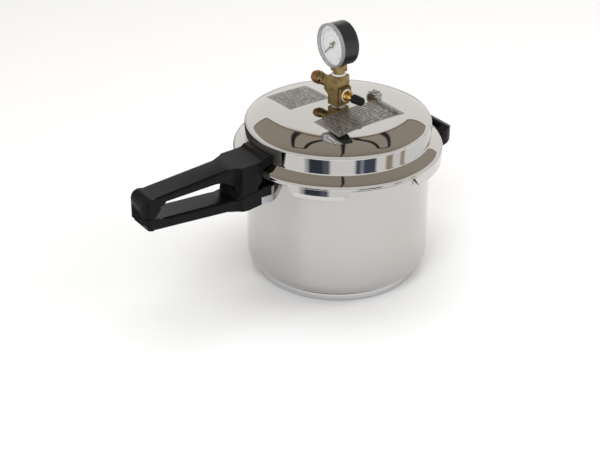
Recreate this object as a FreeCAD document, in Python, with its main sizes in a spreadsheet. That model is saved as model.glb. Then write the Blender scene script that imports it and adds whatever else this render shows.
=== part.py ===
import FreeCAD, Part
import math
import os
import Sketcher

# Pressure canner: a lidded pot with a gauge manifold on the lid.
# Millimetres. Origin: centre of the underside of the base. +Z up, long handles towards -X.

DIMENSIONS = {
    # pot
    "pot_radius": 110.0, "pot_wall": 1.4, "pot_corner": 20.0, "pot_floor": 8.2,
    "rim_top": 158.0, "rim_sheet": 2.0, "rim_radius": 117.0,
    "ear_radius": 121.5, "ear_bottom": 150.0, "ear_span": 33.0, "ear_count": 5.0,
    "ear_turn": 8.75,
    # base
    "base_radius": 98.0, "base_edge": 2.5, "base_top": 9.0, "base_sheet": 1.0, "bond": 0.1,
    # lid
    "lid_sheet": 1.5, "crown_top": 211.7, "crown_curve": 581.0, "crown_edge": 86.0,
    "shoulder_curve": 73.5, "shoulder_x": 106.18, "shoulder_z": 199.25,
    "nose_curve": 8.3, "skirt_radius": 111.0, "skirt_top": 191.7, "skirt_bottom": 173.0,
    "brim_x": 121.0, "brim_z": 168.0, "brim_curve": 7.25, "brim_radius": 125.0,
    "brim_low": 161.5, "bead_bottom": 160.0,
    "tab_bottom": 147.0, "tab_sheet": 1.8, "tab_span": 34.5, "hook_radius": 118.6,
    "centre_hole": 6.6, "vent_offset": 52.3, "vent_hole": 4.4, "vent_flats": 17.8,
    # sealing ring
    "ring_inner": 110.3, "ring_outer": 122.6, "ring_gap": 0.4,
    # handles
    "beam_width": 34.0, "root_width": 47.0, "lid_clearance": 0.6,
    "handle_end": 274.0, "end_turn": 9.0, "wing_depth": 1.8,
    "helper_width": 64.0, "helper_gap_x": 22.6, "helper_gap_y": 38.0,
    "screw_radius": 2.5, "screw_head": 4.5, "screw_depth": 2.0,
    # rack
    "rack_radius": 96.0, "rack_sheet": 0.8, "rack_rim": 6.5, "rack_bottom": 10.0,
    "rack_hole": 5.0, "rack_hole_circle": 64.5, "rack_hole_count": 12.0,
    "rack_big_hole": 10.0, "rack_big_offset": 21.0,
    # manifold, turned a little about the vertical
    "block_turn": 9.0, "block_bottom": 213.4, "block_x": 19.0, "block_y": 16.4,
    "block_height": 37.0, "boss_width": 16.6, "washer_radius": 9.0, "locknut_flats": 19.0,
    "relief_height": 22.6, "relief_port": 5.0, "fill_height": 13.8, "fill_port": 4.2,
    # gauge
    "gauge_height": 288.4, "case_radius": 25.6, "case_sheet": 1.2, "case_back": 11.0,
    "case_front": 10.0, "lens_radius": 26.2, "lens_front": 14.0, "dial_radius": 23.8,
    "shank": 14.0, "neck_radius": 6.5, "bore_radius": 2.0,
    "gear_module": 0.4, "pinion_teeth": 12.0, "sector_teeth": 60.0, "gear_face": 1.2,
}


class Size:
    """A number together with the spreadsheet expression that gives it."""

    def __init__(self, value, text):
        self.value = value
        self.text = text

    def __add__(self, other):
        return Size(self.value + number(other), "(%s + %s)" % (self.text, words(other)))

    def __sub__(self, other):
        return Size(self.value - number(other), "(%s - %s)" % (self.text, words(other)))

    def __mul__(self, other):
        return Size(self.value * number(other), "(%s * %s)" % (self.text, words(other)))

    def __truediv__(self, other):
        return Size(self.value / number(other), "(%s / %s)" % (self.text, words(other)))

    def __neg__(self):
        return Size(-self.value, "(0 - %s)" % self.text)

    __radd__ = __add__
    __rmul__ = __mul__


def number(item):
    return item.value if isinstance(item, Size) else float(item)


def words(item):
    return item.text if isinstance(item, Size) else "(%.6f)" % float(item)


def cosine(angle):
    return Size(math.cos(math.radians(number(angle))), "cos(%s * 1deg)" % words(angle))


def sine(angle):
    return Size(math.sin(math.radians(number(angle))), "sin(%s * 1deg)" % words(angle))


doc = FreeCAD.newDocument("PressureCanner")
sheet = doc.addObject("Spreadsheet::Sheet", "Dims")
for row, (name, value) in enumerate(DIMENSIONS.items(), start=1):
    sheet.set("A%d" % row, name)
    sheet.set("B%d" % row, "%g" % value)
    sheet.setAlias("B%d" % row, name)
doc.recompute()


class Sheet:
    """Each driving dimension by its own name."""

    def __getattr__(self, name):
        return Size(DIMENSIONS[name], "Dims." + name)


D = Sheet()
PIECES = []


def bind(thing, path, size):
    """Set a property to a size, tied to the spreadsheet when the size comes from it."""
    if isinstance(size, Size):
        thing.setExpression(path, size.text)


class Piece:
    """One sub-part: a body that features are added to in turn."""

    def __init__(self, label):
        self.body = doc.addObject("PartDesign::Body", label)
        self.body.Label = label
        self.made = 0
        PIECES.append(self.body)

    def name(self, word):
        self.made += 1
        return "%s_%s%d" % (self.body.Label, word, self.made)

    def sketch(self, plane, offset=0.0):
        sketch = self.body.newObject("Sketcher::SketchObject", self.name("sketch"))
        origin = [part for part in self.body.Origin.OriginFeatures if part.Role == plane][0]
        sketch.AttachmentSupport = [(origin, "")]
        sketch.MapMode = "FlatFace"
        sketch.AttachmentOffset = FreeCAD.Placement(
            FreeCAD.Vector(0, 0, number(offset)), FreeCAD.Rotation())
        bind(sketch, "AttachmentOffset.Base.z", offset)
        return sketch

    def outline(self, sketch, points):
        """Draw one closed loop. A point is (u, v), or (u, v, radius, turn) reached by an arc."""
        first = sketch.GeometryCount
        count = len(points)
        for index, point in enumerate(points):
            following = points[(index + 1) % count]
            start = FreeCAD.Vector(number(point[0]), number(point[1]), 0)
            end = FreeCAD.Vector(number(following[0]), number(following[1]), 0)
            if len(following) == 2:
                sketch.addGeometry(Part.LineSegment(start, end), False)
            else:
                middle = arc_middle(start, end, number(following[2]), following[3])
                sketch.addGeometry(Part.Arc(start, middle, end), False)
        starts = []
        for index in range(count):
            following = points[(index + 1) % count]
            clockwise = len(following) == 4 and following[3] < 0
            starts.append(2 if clockwise else 1)
        for index in range(count):
            after = (index + 1) % count
            sketch.addConstraint(Sketcher.Constraint(
                "Coincident", first + index, 3 - starts[index], first + after, starts[after]))
        for index, point in enumerate(points):
            for kind, size, axis in (("DistanceX", point[0], -2), ("DistanceY", point[1], -1)):
                if number(size) == 0.0:
                    sketch.addConstraint(Sketcher.Constraint(
                        "PointOnObject", first + index, starts[index], axis))
                    continue
                place = sketch.addConstraint(Sketcher.Constraint(
                    kind, -1, 1, first + index, starts[index], number(size)))
                bind(sketch, "Constraints[%d]" % place, size)
        for index in range(count):
            following = points[(index + 1) % count]
            if len(following) == 4:
                place = sketch.addConstraint(Sketcher.Constraint(
                    "Radius", first + index, number(following[2])))
                bind(sketch, "Constraints[%d]" % place, following[2])
        return sketch

    def ring(self, sketch, u, v, radius):
        """Draw a circle."""
        place = sketch.addGeometry(Part.Circle(
            FreeCAD.Vector(number(u), number(v), 0), FreeCAD.Vector(0, 0, 1), number(radius)), False)
        for kind, size, axis in (("DistanceX", u, -2), ("DistanceY", v, -1)):
            if number(size) == 0.0:
                sketch.addConstraint(Sketcher.Constraint("PointOnObject", place, 3, axis))
                continue
            at = sketch.addConstraint(Sketcher.Constraint(kind, -1, 1, place, 3, number(size)))
            bind(sketch, "Constraints[%d]" % at, size)
        at = sketch.addConstraint(Sketcher.Constraint("Radius", place, number(radius)))
        bind(sketch, "Constraints[%d]" % at, radius)
        return sketch

    def feature(self, kind, sketch):
        feature = self.body.newObject("PartDesign::" + kind, self.name(kind.lower()))
        feature.Profile = sketch
        sketch.Visibility = False
        return feature

    def pad(self, sketch, length, middle=False, backwards=False):
        feature = self.feature("Pad", sketch)
        return self.extrude(feature, length, middle, backwards)

    def pocket(self, sketch, length, middle=False, backwards=False):
        feature = self.feature("Pocket", sketch)
        return self.extrude(feature, length, middle, backwards)

    def extrude(self, feature, length, middle, backwards):
        feature.Length = number(length)
        bind(feature, "Length", length)
        feature.SideType = "Symmetric" if middle else "One side"
        feature.Reversed = backwards
        self.body.Tip = feature
        doc.recompute()
        return feature

    def spin(self, kind, sketch, axis, angle):
        feature = self.feature(kind, sketch)
        feature.ReferenceAxis = (sketch, [axis])
        feature.Angle = number(angle)
        bind(feature, "Angle", angle)
        feature.Midplane = number(angle) < 360.0
        self.body.Tip = feature
        doc.recompute()
        return feature

    def revolve(self, sketch, angle=360.0, axis="V_Axis"):
        return self.spin("Revolution", sketch, axis, angle)

    def groove(self, sketch, angle=360.0, axis="V_Axis"):
        return self.spin("Groove", sketch, axis, angle)

    def around(self, features, count, axis="Z_Axis", angle=360.0):
        """Repeat features about one of the body's own axes."""
        pattern = self.body.newObject("PartDesign::PolarPattern", self.name("pattern"))
        line = [part for part in self.body.Origin.OriginFeatures if part.Role == axis][0]
        pattern.Originals = features
        pattern.Axis = (line, [""])
        pattern.Angle = number(angle)
        pattern.Occurrences = int(number(count))
        bind(pattern, "Occurrences", count)
        self.body.Tip = pattern
        doc.recompute()
        return pattern

    def edges(self, chosen):
        """Names of the tip's edges whose middle point satisfies a test."""
        names = []
        for index, edge in enumerate(self.body.Tip.Shape.Edges, start=1):
            middle = edge.valueAt(0.5 * (edge.FirstParameter + edge.LastParameter))
            if chosen(middle, edge):
                names.append("Edge%d" % index)
        return names

    def dress(self, kind, names, size):
        base = self.body.Tip
        feature = self.body.newObject("PartDesign::" + kind, self.name(kind.lower()))
        feature.Base = (base, names)
        if kind == "Fillet":
            feature.Radius = number(size)
            bind(feature, "Radius", size)
        else:
            feature.Size = number(size)
            bind(feature, "Size", size)
        self.body.Tip = feature
        doc.recompute()
        return feature

    def fillet(self, chosen, radius):
        return self.dress("Fillet", self.edges(chosen), radius)

    def chamfer(self, chosen, size):
        return self.dress("Chamfer", self.edges(chosen), size)

    def place(self, x=0.0, y=0.0, z=0.0, turn=0.0):
        """Put the piece in the assembly, turned about the vertical first."""
        self.body.Placement = FreeCAD.Placement(
            FreeCAD.Vector(number(x), number(y), number(z)),
            FreeCAD.Rotation(FreeCAD.Vector(0, 0, 1), number(turn)))
        bind(self.body, ".Placement.Base.x", x)
        bind(self.body, ".Placement.Base.y", y)
        bind(self.body, ".Placement.Base.z", z)
        bind(self.body, ".Placement.Rotation.Angle", turn)
        return self


def arc_middle(start, end, radius, turn):
    """Middle point of the short arc from start to end; turn +1 is anticlockwise."""
    chord = end - start
    half = chord.Length / 2
    lift = math.sqrt(max(radius * radius - half * half, 0.0))
    across = FreeCAD.Vector(-chord.y, chord.x, 0).normalize()
    centre = start + chord * 0.5 + across * (lift * turn)
    return centre - across * (radius * turn)


def box_points(u0, v0, u1, v1):
    """Corners of an upright rectangle."""
    return [(u0, v0), (u1, v0), (u1, v1), (u0, v1)]


def hexagon_points(flats):
    """Corners of a hexagon about the origin, two flats parallel to the first axis."""
    corner = flats / math.sqrt(3.0)
    return [(corner * cosine(60.0 * index), corner * sine(60.0 * index)) for index in range(6)]


def screw_group(label, places, head_down, length):
    """Round-headed screws of one size, upright, as one group of separate solids."""
    piece = Piece(label)
    heads = piece.sketch("XY_Plane")
    for x, y in places:
        piece.ring(heads, x, y, D.screw_head)
    piece.pad(heads, D.screw_depth)
    shanks = piece.sketch("XY_Plane", 0.0 if head_down else D.screw_depth)
    for x, y in places:
        piece.ring(shanks, x, y, D.screw_radius)
    piece.pad(shanks, length, backwards=not head_down)
    return piece


def narrow(piece, plan):
    """Outline of what is cut away beside the beam, from the shoulder to the far end."""
    beam = D.beam_width / 2.0
    root = D.root_width / 2.0
    for hand in (1.0, -1.0):
        piece.outline(plan, [
            (-300.0, (beam - D.end_turn) * hand), (-D.handle_end, (beam - D.end_turn) * hand),
            (-D.handle_end + D.end_turn, beam * hand, D.end_turn, -hand), (-160.0, beam * hand),
            (-153.0, (beam + 3.0) * hand), (-148.0, (root + 0.5) * hand),
            (-148.0, 40.0 * hand), (-300.0, 40.0 * hand)])


def beam_edge(low, high):
    """Test for the long side edges of the beam."""
    return lambda p, e: (abs(abs(p.y) - D.beam_width.value / 2.0) < 0.01 and low < p.x < high
                         and e.Length > 30.0)


# ---- pot: deep-drawn vessel, rim turned out, five ears pressed in the rim

pot = Piece("pot_body")
inner_corner = D.pot_corner - D.pot_wall
flat_radius = D.pot_radius - D.pot_corner
inner_radius = D.pot_radius - D.pot_wall
corner_top = D.pot_floor + D.pot_corner
profile = pot.sketch("XZ_Plane")
pot.outline(profile, [
    (0.0, D.pot_floor), (flat_radius, D.pot_floor),
    (D.pot_radius, corner_top, D.pot_corner, 1),
    (D.pot_radius, D.rim_top - D.rim_sheet),
    (D.rim_radius, D.rim_top - D.rim_sheet), (D.rim_radius, D.rim_top),
    (inner_radius + 1.6, D.rim_top), (inner_radius, D.rim_top - 1.6, 1.6, 1),
    (inner_radius, corner_top),
    (flat_radius, D.pot_floor + D.pot_wall, inner_corner, -1),
    (0.0, D.pot_floor + D.pot_wall)])
pot.revolve(profile)
ear = pot.sketch("XZ_Plane")
pot.outline(ear, [
    (D.rim_radius - 1.0, D.rim_top - D.rim_sheet), (D.ear_radius - 2.0, D.rim_top - D.rim_sheet),
    (D.ear_radius - 2.0, D.ear_bottom), (D.ear_radius, D.ear_bottom),
    (D.ear_radius, D.rim_top - 1.5), (D.ear_radius - 1.5, D.rim_top, 1.5, 1),
    (D.rim_radius - 1.0, D.rim_top)])
ear_feature = pot.revolve(ear, D.ear_span)
pot.around([ear_feature], D.ear_count)
pot.place(turn=D.ear_turn)

# ---- base: aluminium spreader disc closed in by a steel cap

core = Piece("base_core")
core.ring(core.sketch("XY_Plane"), 0.0, 0.0, D.base_radius - D.base_sheet - 9.0)
core.pad(core.body.Group[0], D.pot_floor - D.base_sheet - 2.0 * D.bond)
core.place(z=D.base_sheet + D.bond)

cap = Piece("base_cap")
profile = cap.sketch("XZ_Plane")
cap.outline(profile, [
    (0.0, 0.0), (D.base_radius - D.base_edge, 0.0),
    (D.base_radius, D.base_edge, D.base_edge, 1),
    (D.base_radius, D.base_top), (D.base_radius - D.base_sheet, D.base_top),
    (D.base_radius - 2.4, 8.896), (flat_radius, D.pot_floor - D.bond, D.pot_corner + D.bond, -1),
    (D.base_radius - 9.0, D.pot_floor - D.bond), (D.base_radius - 9.0, D.base_sheet),
    (0.0, D.base_sheet)])
cap.revolve(profile)

# ---- pot handle: moulded root and beam under the lid handle

pot_handle = Piece("pot_handle")
side = pot_handle.sketch("XZ_Plane")
pot_handle.outline(side, [
    (-104.0, 124.9), (-104.0, 146.0), (-118.0, 146.0), (-127.0, 143.8), (-144.0, 141.6),
    (-154.0, 136.4), (-172.0, 138.2), (-250.0, 141.8), (-258.0, 144.6), (-272.6, 144.6),
    (-273.4, 139.0), (-268.0, 131.2, 8.0, -1), (-260.0, 129.2), (-158.6, 123.3),
    (-141.0, 122.6), (-124.0, 124.9)])
pot_handle.pad(side, D.root_width, middle=True)
plan = pot_handle.sketch("XY_Plane", 100.0)
narrow(pot_handle, plan)
pot_handle.pocket(plan, 100.0, backwards=True)
pot_handle.fillet(beam_edge(-262.0, -160.0), 3.0)
wall = pot_handle.sketch("XZ_Plane")
pot_handle.outline(wall, box_points(90.0, 100.0, D.pot_radius + 2.4, 147.5))
pot_handle.groove(wall)
recess = pot_handle.sketch("XZ_Plane")
pot_handle.outline(recess, box_points(-123.9, 110.0, -100.0, 134.4))
wing_room = D.root_width / 2.0 - D.wing_depth
pot_handle.pocket(recess, 80.0, middle=True)
tongue_seat = pot_handle.sketch("XZ_Plane")
pot_handle.outline(tongue_seat, box_points(-124.9, 124.9, -D.pot_radius - 3.4, 135.4))
pot_handle.pad(tongue_seat, wing_room * 2.0, middle=True)
slot = pot_handle.sketch("YZ_Plane", -100.0)
pot_handle.outline(slot, box_points(-10.3, 126.7, 10.3, 131.3))
pot_handle.pocket(slot, 46.0)
drill = pot_handle.sketch("XY_Plane", 110.0)
pot_handle.ring(drill, -134.0, 0.0, D.screw_radius + 0.1)
pot_handle.pocket(drill, 26.0, backwards=True)
sink = pot_handle.sketch("XY_Plane", 110.0)
pot_handle.ring(sink, -134.0, 0.0, D.screw_head + 0.3)
pot_handle.pocket(sink, 16.0, backwards=True)

# ---- steel bracket welded under the rim; its tongue runs into the handle

pot_bracket = Piece("pot_handle_bracket")
plate = pot_bracket.sketch("XZ_Plane")
pot_bracket.outline(plate, box_points(
    -D.pot_radius - 1.8, 124.9, -D.pot_radius - 0.05, 144.0))
pot_bracket.spin("Revolution", plate, "V_Axis", 23.6)
wings = pot_bracket.sketch("XY_Plane", 124.9)
for hand in (1.0, -1.0):
    outer = D.root_width / 2.0 - 0.1
    pot_bracket.outline(wings, [
        (-123.4, (outer - 1.4) * hand), (-109.2, (outer - 1.4) * hand), (-109.2, outer * hand),
        (-123.4, outer * hand)])
pot_bracket.pad(wings, 9.1)
tongue = pot_bracket.sketch("XZ_Plane")
pot_bracket.outline(tongue, box_points(-145.5, 127.0, -D.pot_radius - 1.0, 131.0))
pot_bracket.pad(tongue, 20.0, middle=True)
drill = pot_bracket.sketch("XY_Plane", 120.0)
pot_bracket.ring(drill, -134.0, 0.0, D.screw_radius + 0.1)
pot_bracket.pocket(drill, 20.0, backwards=True)

pot_screw = screw_group("pot_handle_screw", [(-134.0, 0.0)], True, 12.0)
pot_screw.place(z=123.8)

# ---- helper handle: moulded loop opposite the long handles

helper = Piece("helper_handle")
side = helper.sketch("XZ_Plane")
helper.outline(side, [
    (108.0, 124.0), (114.0, 124.4), (128.0, 130.0), (147.0, 134.6), (153.6, 138.8),
    (156.4, 147.0), (153.6, 154.2), (147.0, 156.2), (133.0, 150.6), (126.0, 145.6),
    (108.0, 144.0)])
helper.pad(side, D.helper_width, middle=True)
gap = helper.sketch("XY_Plane", 100.0)
helper.outline(gap, box_points(
    121.4, -D.helper_gap_y / 2.0, 121.4 + D.helper_gap_x, D.helper_gap_y / 2.0))
helper.pocket(gap, 80.0, backwards=True)
rounding = helper.sketch("XY_Plane", 100.0)
for hand in (1.0, -1.0):
    helper.outline(rounding, [
        (138.4, 32.0 * hand), (156.4, 14.0 * hand, 18.0, -hand), (164.0, 14.0 * hand),
        (164.0, 42.0 * hand), (138.4, 42.0 * hand)])
helper.pocket(rounding, 80.0, backwards=True)
helper.fillet(lambda p, e: abs(abs(p.y) - D.helper_width.value / 2.0) < 0.01
              and p.x > 115.0 and e.Length > 8.0, 3.5)
wall = helper.sketch("XZ_Plane")
helper.outline(wall, box_points(90.0, 100.0, D.pot_radius + 2.4, 160.0))
helper.groove(wall)
slot = helper.sketch("YZ_Plane", 100.0)
helper.outline(slot, box_points(-8.3, 130.7, 8.3, 134.3))
helper.pocket(slot, 18.4, backwards=True)

helper_bracket = Piece("helper_bracket")
plate = helper_bracket.sketch("XZ_Plane")
helper_bracket.outline(plate, box_points(
    D.pot_radius + 0.05, 119.0, D.pot_radius + 1.8, 146.0))
helper_bracket.spin("Revolution", plate, "V_Axis", 30.0)
tongue = helper_bracket.sketch("XZ_Plane")
helper_bracket.outline(tongue, box_points(D.pot_radius + 1.0, 131.0, 118.0, 134.0))
helper_bracket.pad(tongue, 16.0, middle=True)
cradle = helper_bracket.sketch("XZ_Plane")
helper_bracket.outline(cradle, [
    (D.pot_radius + 1.0, 119.6), (D.pot_radius + 5.0, 119.6), (129.6, 127.4), (128.8, 129.4),
    (D.pot_radius + 4.4, 121.6), (D.pot_radius + 1.0, 121.6)])
helper_bracket.pad(cradle, 54.0, middle=True)
between = helper_bracket.sketch("XY_Plane", 110.0)
helper_bracket.outline(between, box_points(
    D.pot_radius + 2.4, -D.helper_gap_y / 2.0 - 1.0, 140.0, D.helper_gap_y / 2.0 + 1.0))
helper_bracket.pocket(between, 20.5, backwards=True)

# ---- rack: pressed plate that stands on the pot floor

rack = Piece("rack")
profile = rack.sketch("XZ_Plane")
top = D.rack_sheet
rack.outline(profile, [
    (0.0, 0.0), (38.0, 0.0), (41.5, 2.2), (46.5, 2.2), (50.0, 0.0), (73.5, 0.0), (77.0, 2.6),
    (81.5, 2.6), (85.0, 0.0), (88.0, 0.0), (92.4, 2.2), (D.rack_radius, D.rack_rim),
    (D.rack_radius - 1.1, D.rack_rim + 0.3), (91.9, 2.9), (87.8, top), (85.3, top),
    (81.8, 2.6 + top), (76.7, 2.6 + top), (73.2, top), (50.3, top), (46.8, 2.2 + top),
    (41.2, 2.2 + top), (37.7, top), (0.0, top)])
rack.revolve(profile)
hole = rack.sketch("XY_Plane", -1.0)
rack.ring(hole, D.rack_hole_circle, 0.0, D.rack_hole)
small_hole = rack.pocket(hole, 5.0, backwards=True)
rack.around([small_hole], D.rack_hole_count)
pair = rack.sketch("XY_Plane", -1.0)
rack.ring(pair, D.rack_big_offset, 0.0, D.rack_big_hole)
rack.ring(pair, -D.rack_big_offset, 0.0, D.rack_big_hole)
rack.pocket(pair, 5.0, backwards=True)
rack.place(z=D.rack_bottom, turn=15.0)

# ---- sealing ring between the pot rim and the lid

seal = Piece("sealing_ring")
profile = seal.sketch("XZ_Plane")
bottom = D.rim_top + D.ring_gap
seal.outline(profile, [
    (D.ring_inner, bottom), (D.ring_outer, bottom), (D.ring_outer, bottom + 2.4),
    (119.6, bottom + 6.4), (112.8, bottom + 9.8), (D.ring_inner, bottom + 9.8),
    (D.ring_inner, bottom + 7.2), (114.6, bottom + 5.2, 4.8, -1), (114.6, bottom + 2.8),
    (D.ring_inner, bottom + 1.6)])
seal.revolve(profile)

# ---- lid: polished crown, shoulder, skirt, sloping brim and five hooked tabs

lid = Piece("lid_shell")
sheet_edge = math.sin(math.radians(8.51)), math.cos(math.radians(8.51))
joint = math.sin(math.radians(25.0)), math.cos(math.radians(25.0))
slope = math.sin(math.radians(26.565)), math.cos(math.radians(26.565))
crown_low = D.crown_top - 6.4
profile = lid.sketch("XZ_Plane")
lid.outline(profile, [
    (0.0, D.crown_top - D.lid_sheet, D.crown_curve - D.lid_sheet, 1), (0.0, D.crown_top),
    (D.crown_edge, crown_low, D.crown_curve, -1),
    (D.shoulder_x, D.shoulder_z, D.shoulder_curve, -1),
    (D.skirt_radius, D.skirt_top, D.nose_curve, -1),
    (D.skirt_radius, D.skirt_bottom), (D.brim_x, D.brim_z),
    (D.brim_radius, D.brim_low, D.brim_curve, -1), (D.brim_radius, D.bead_bottom),
    (D.brim_radius - D.lid_sheet, D.bead_bottom), (D.brim_radius - D.lid_sheet, D.brim_low),
    (D.brim_x - D.lid_sheet * slope[0], D.brim_z - D.lid_sheet * slope[1],
     D.brim_curve - D.lid_sheet, 1),
    (D.skirt_radius - D.lid_sheet, D.skirt_bottom - 0.93),
    (D.skirt_radius - D.lid_sheet, D.skirt_top),
    (D.shoulder_x - D.lid_sheet * joint[0], D.shoulder_z - D.lid_sheet * joint[1],
     D.nose_curve - D.lid_sheet, 1),
    (D.crown_edge - D.lid_sheet * sheet_edge[0], crown_low - D.lid_sheet * sheet_edge[1],
     D.shoulder_curve - D.lid_sheet, 1)])
lid.revolve(profile)
hook = lid.sketch("XZ_Plane")
tab_inner = D.brim_radius - D.tab_sheet
lid.outline(hook, [
    (D.hook_radius, D.tab_bottom), (D.brim_radius - 1.8, D.tab_bottom),
    (D.brim_radius, D.tab_bottom + 1.8, 1.8, 1), (D.brim_radius, D.bead_bottom + 0.6),
    (tab_inner + 0.2, D.bead_bottom + 0.6), (tab_inner, D.tab_bottom + D.tab_sheet),
    (D.hook_radius, D.tab_bottom + D.tab_sheet)])
tab = lid.revolve(hook, D.tab_span)
corners = lid.sketch("YZ_Plane", 112.0)
for hand in (1.0, -1.0):
    lid.outline(corners, [
        (37.6 * hand, 159.9), (27.6 * hand, 146.0), (40.0 * hand, 146.0), (40.0 * hand, 159.9)])
cut = lid.pocket(corners, 16.0, backwards=True)
lid.around([tab, cut], D.ear_count)
holes = lid.sketch("XY_Plane", 195.0)
lid.ring(holes, 0.0, 0.0, D.centre_hole)
lid.ring(holes, D.vent_offset * cosine(-D.ear_turn), D.vent_offset * sine(-D.ear_turn),
         D.vent_hole)
lid.pocket(holes, 25.0, backwards=True)
lid.place(turn=D.ear_turn)

# ---- lid handle: collar round the skirt, wide root, beam and end block

lid_handle = Piece("lid_handle")
side = lid_handle.sketch("XZ_Plane")
lid_handle.outline(side, [
    (-105.0, 151.6), (-127.0, 151.6), (-128.6, 144.4), (-144.0, 142.5), (-154.2, 137.2),
    (-152.0, 147.0), (-156.0, 157.0, 12.0, -1), (-166.0, 162.6, 12.0, -1), (-173.0, 163.6),
    (-245.0, 160.4), (-251.0, 157.6, 8.0, -1), (-254.6, 150.0, 9.0, -1), (-258.0, 145.4),
    (-272.8, 145.4), (-274.0, 156.0), (-269.4, 165.4, 11.0, -1), (-259.0, 168.6, 13.0, -1),
    (-158.0, 178.2), (-129.0, 179.4), (-121.0, 180.4), (-117.6, 183.4), (-105.0, 184.0)])
lid_handle.pad(side, D.root_width, middle=True)
plan = lid_handle.sketch("XY_Plane", 130.0)
narrow(lid_handle, plan)
lid_handle.pocket(plan, 100.0, backwards=True)
lid_handle.fillet(beam_edge(-262.0, -160.0), 3.0)
clear = lid_handle.sketch("XZ_Plane")
lid_handle.outline(clear, [
    (90.0, 140.0), (D.brim_radius + 1.4, 140.0), (D.brim_radius + D.lid_clearance, 162.4),
    (D.brim_x + 1.0, D.brim_z + D.lid_clearance + 0.4),
    (D.skirt_radius + D.lid_clearance, D.skirt_bottom + 0.8),
    (D.skirt_radius + D.lid_clearance, 200.0), (90.0, 200.0)])
lid_handle.groove(clear)
slot = lid_handle.sketch("YZ_Plane", -100.0)
lid_handle.outline(slot, box_points(-9.3, 173.6, 9.3, 176.4))
lid_handle.pocket(slot, 42.0)
drill = lid_handle.sketch("XY_Plane", 140.0)
lid_handle.ring(drill, -134.0, 0.0, D.screw_radius + 0.1)
lid_handle.pocket(drill, 36.2, backwards=True)
sink = lid_handle.sketch("XY_Plane", 140.0)
lid_handle.ring(sink, -134.0, 0.0, D.screw_head + 0.3)
lid_handle.pocket(sink, 23.2, backwards=True)

lid_bracket = Piece("lid_handle_bracket")
plate = lid_bracket.sketch("XZ_Plane")
lid_bracket.outline(plate, box_points(
    -D.skirt_radius - 0.45, 173.9, -D.skirt_radius - 0.05, 182.0))
lid_bracket.spin("Revolution", plate, "V_Axis", 9.0)
tongue = lid_bracket.sketch("XZ_Plane")
lid_bracket.outline(tongue, box_points(-141.5, 173.9, -D.skirt_radius - 0.3, 176.1))
lid_bracket.pad(tongue, 18.0, middle=True)
drill = lid_bracket.sketch("XY_Plane", 170.0)
lid_bracket.ring(drill, -134.0, 0.0, D.screw_radius + 0.1)
lid_bracket.pocket(drill, 20.0, backwards=True)

lid_screw = screw_group("lid_handle_screw", [(-134.0, 0.0)], True, 15.0)
lid_screw.place(z=160.4)

# ---- manifold: brass block on the lid with three ports

block = Piece("manifold_block")
column = block.sketch("XY_Plane")
block.outline(column, box_points(
    -D.block_x / 2.0, -D.block_y / 2.0, D.block_x / 2.0, D.block_y / 2.0))
block.pad(column, D.block_height)
arms = block.sketch("YZ_Plane")
half = D.block_y / 2.0
block.outline(arms, [
    (-half + 1.0, 3.0), (half - 1.0, 3.0), (half, 10.0), (half + 8.0, 16.0), (half + 8.0, 31.0),
    (half, 35.0), (-half + 1.0, 35.0), (-half, 24.0), (-half - 4.4, 22.4), (-half - 4.4, 5.4),
    (-half, 4.0)])
block.pad(arms, D.boss_width, middle=True)
block.chamfer(lambda p, e: abs(p.z - D.block_height.value) < 0.01, 1.0)
spigot = block.sketch("XY_Plane")
block.ring(spigot, 0.0, 0.0, D.centre_hole - 0.2)
block.pad(spigot, 12.0, backwards=True)
bore = block.sketch("XY_Plane", -14.0)
block.ring(bore, 0.0, 0.0, D.bore_radius)
block.pocket(bore, 60.0, backwards=True)
socket_bore = block.sketch("XY_Plane", D.block_height - 11.0)
block.ring(socket_bore, 0.0, 0.0, D.neck_radius + 0.1)
block.pocket(socket_bore, 14.0, backwards=True)
relief_bore = block.sketch("XZ_Plane", -3.0)
block.ring(relief_bore, 0.0, D.relief_height - 2.6, 1.6)
block.pocket(relief_bore, 8.0)
relief_port = block.sketch("XZ_Plane", -9.4)
block.ring(relief_port, 0.0, D.relief_height, D.relief_port)
block.pocket(relief_port, 12.0)
fill_bore = block.sketch("XZ_Plane")
block.ring(fill_bore, 0.0, D.fill_height, 1.6)
block.pocket(fill_bore, 8.0, backwards=True)
fill_port = block.sketch("XZ_Plane", 6.0)
block.ring(fill_port, 0.0, D.fill_height, D.fill_port)
block.pocket(fill_port, 12.0, backwards=True)
block.place(z=D.block_bottom, turn=D.block_turn)

washer = Piece("manifold_washer")
profile = washer.sketch("XZ_Plane")
washer.outline(profile, box_points(D.centre_hole + 0.1, 0.0, D.washer_radius, 1.3))
washer.revolve(profile)
washer.place(z=D.crown_top + 0.1)

locknut = Piece("manifold_locknut")
flats = locknut.sketch("XY_Plane")
locknut.outline(flats, hexagon_points(D.locknut_flats))
locknut.ring(flats, 0.0, 0.0, D.centre_hole)
locknut.pad(flats, 5.0)
locknut.place(z=D.crown_top - D.lid_sheet - 6.6)

inner_washer = Piece("manifold_inner_washer")
profile = inner_washer.sketch("XZ_Plane")
inner_washer.outline(profile, box_points(D.centre_hole + 0.1, 0.0, D.washer_radius, 1.2))
inner_washer.revolve(profile)
inner_washer.place(z=D.crown_top - D.lid_sheet - 1.5)

gauge_tape = Piece("gauge_thread_tape")
profile = gauge_tape.sketch("XZ_Plane")
gauge_tape.outline(profile, box_points(D.neck_radius + 0.05, 0.05, 8.4, 1.6))
gauge_tape.revolve(profile)
gauge_tape.place(z=D.block_bottom + D.block_height)


def lengthwise(label, profile_points, turn, height):
    """A round part turned about its own length, lying level and pointing outwards at an angle."""
    piece = Piece(label)
    sketch = piece.sketch("XZ_Plane")
    piece.outline(sketch, profile_points)
    piece.revolve(sketch, axis="H_Axis")
    piece.place(z=height, turn=turn)
    return piece


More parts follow.
